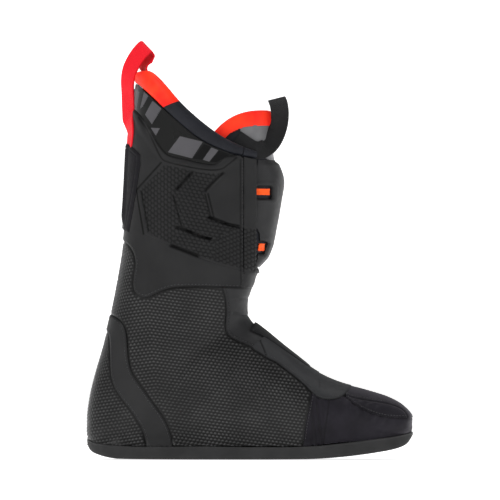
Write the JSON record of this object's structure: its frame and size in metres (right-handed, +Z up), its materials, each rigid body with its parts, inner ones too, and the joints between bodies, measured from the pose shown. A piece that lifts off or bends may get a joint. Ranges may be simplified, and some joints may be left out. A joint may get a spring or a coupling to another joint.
{
  "type": "ski boot liner",
  "caption": "Soft inner boot for an alpine ski boot, with padded cuff, folding tongue, cuff flaps, pull loops and lift-out footbed.",
  "frame": {"origin": "centre of the bounding box in plan, on the floor plane under the outsole", "axes": "+X to the toe, +Z up, +Y to the medial side of this right-foot liner"},
  "size_m": [0.2848, 0.1102, 0.3653],
  "materials": {
    "rubber_sole": "moulded",
    "board": "pressed fibre",
    "textured_upper": "embossed",
    "smooth_overlay": "satin",
    "neck_fabric": "satin",
    "instep_eva": "satin",
    "black_webbing": "woven",
    "neoprene": "knit",
    "cuff_eva": "satin, embossed",
    "glossy_print": "gloss",
    "collar_fabric": "smooth knit",
    "red_fabric": "satin",
    "bar_tack": "stitched",
    "red_webbing": "woven",
    "foam": "foam",
    "lining": "brushed",
    "shin_plastic": "embossed",
    "grey_satin": "satin",
    "orange_ribbon": "satin"
  },
  "bodies": {
    "liner": {"outsole": "rubber_sole", "sole_board": "board", "upper_lateral": "textured_upper", "upper_medial": "textured_upper", "heel_panel": "textured_upper", "heel_strap": "smooth_overlay", "neck_panel": "neck_fabric", "instep_cover": "instep_eva", "instep_tab": "black_webbing", "toe_box": "neoprene", "toe_cap_top": "neoprene", "cuff_lateral": "cuff_eva", "cuff_medial": "cuff_eva", "collar_panel_lateral": "glossy_print", "collar_panel_medial": "glossy_print", "collar_roll_lateral": "collar_fabric", "collar_roll_medial": "collar_fabric", "collar_roll_rear": "red_fabric", "rear_sleeve": "black_webbing", "sleeve_bar_tack": "bar_tack", "rear_loop_tails": "red_webbing", "foot_foam_lateral": "foam", "foot_foam_medial": "foam", "cuff_foam": "foam", "heel_counter": "foam", "ankle_pad_lateral": "foam", "ankle_pad_medial": "foam", "foot_lining": "lining", "cuff_lining": "lining", "tongue_base": "lining"},
    "tongue": {"shin_plate": "shin_plastic", "tongue_foam": "collar_fabric", "tongue_lining": "lining", "tongue_facing": "grey_satin", "tongue_binding": "red_fabric", "keeper_ribbons": "orange_ribbon"},
    "tongue_loop": {"tongue_pull_loop": "black_webbing"},
    "flap_lateral": {"cuff_flap_lateral": "cuff_eva", "collar_tip_lateral": "collar_fabric"},
    "flap_medial": {"cuff_flap_medial": "cuff_eva", "collar_tip_medial": "collar_fabric"},
    "rear_loop": {"rear_pull_loop": "red_webbing"},
    "insole": {"footbed": "foam", "footbed_cover": "lining"}
  },
  "joints": [
    {"name": "tongue_fold", "type": "hinge", "parent": "liner", "child": "tongue", "pos_m": [0.004, 0, 0.163], "axis": [0, 1, 0], "range_deg": [0, 30], "stiffness_Nm_per_rad": 0.25},
    {"name": "flap_lateral_fold", "type": "hinge", "parent": "liner", "child": "flap_lateral", "pos_m": [-0.0057, -0.0508, 0.214], "axis": [0, 0, -1], "range_deg": [0, 35], "stiffness_Nm_per_rad": 0.02},
    {"name": "flap_medial_fold", "type": "hinge", "parent": "liner", "child": "flap_medial", "pos_m": [-0.0057, 0.0508, 0.214], "axis": [0, 0, 1], "range_deg": [0, 35], "stiffness_Nm_per_rad": 0.02},
    {"name": "rear_loop_swing", "type": "hinge", "parent": "liner", "child": "rear_loop", "pos_m": [-0.1005, 0, 0.339], "axis": [0, 1, 0], "range_deg": [-18, 14], "stiffness_Nm_per_rad": 0.005},
    {"name": "tongue_loop_swing", "type": "hinge", "parent": "tongue", "child": "tongue_loop", "pos_m": [0.014, 0, 0.268], "axis": [0, 1, 0], "range_deg": [0, 24], "stiffness_Nm_per_rad": 0.005},
    {"name": "footbed_lift", "type": "hinge", "parent": "liner", "child": "insole", "pos_m": [0.112, 0, 0.024], "axis": [0, 1, 0], "range_deg": [0, 7]}
  ]
}
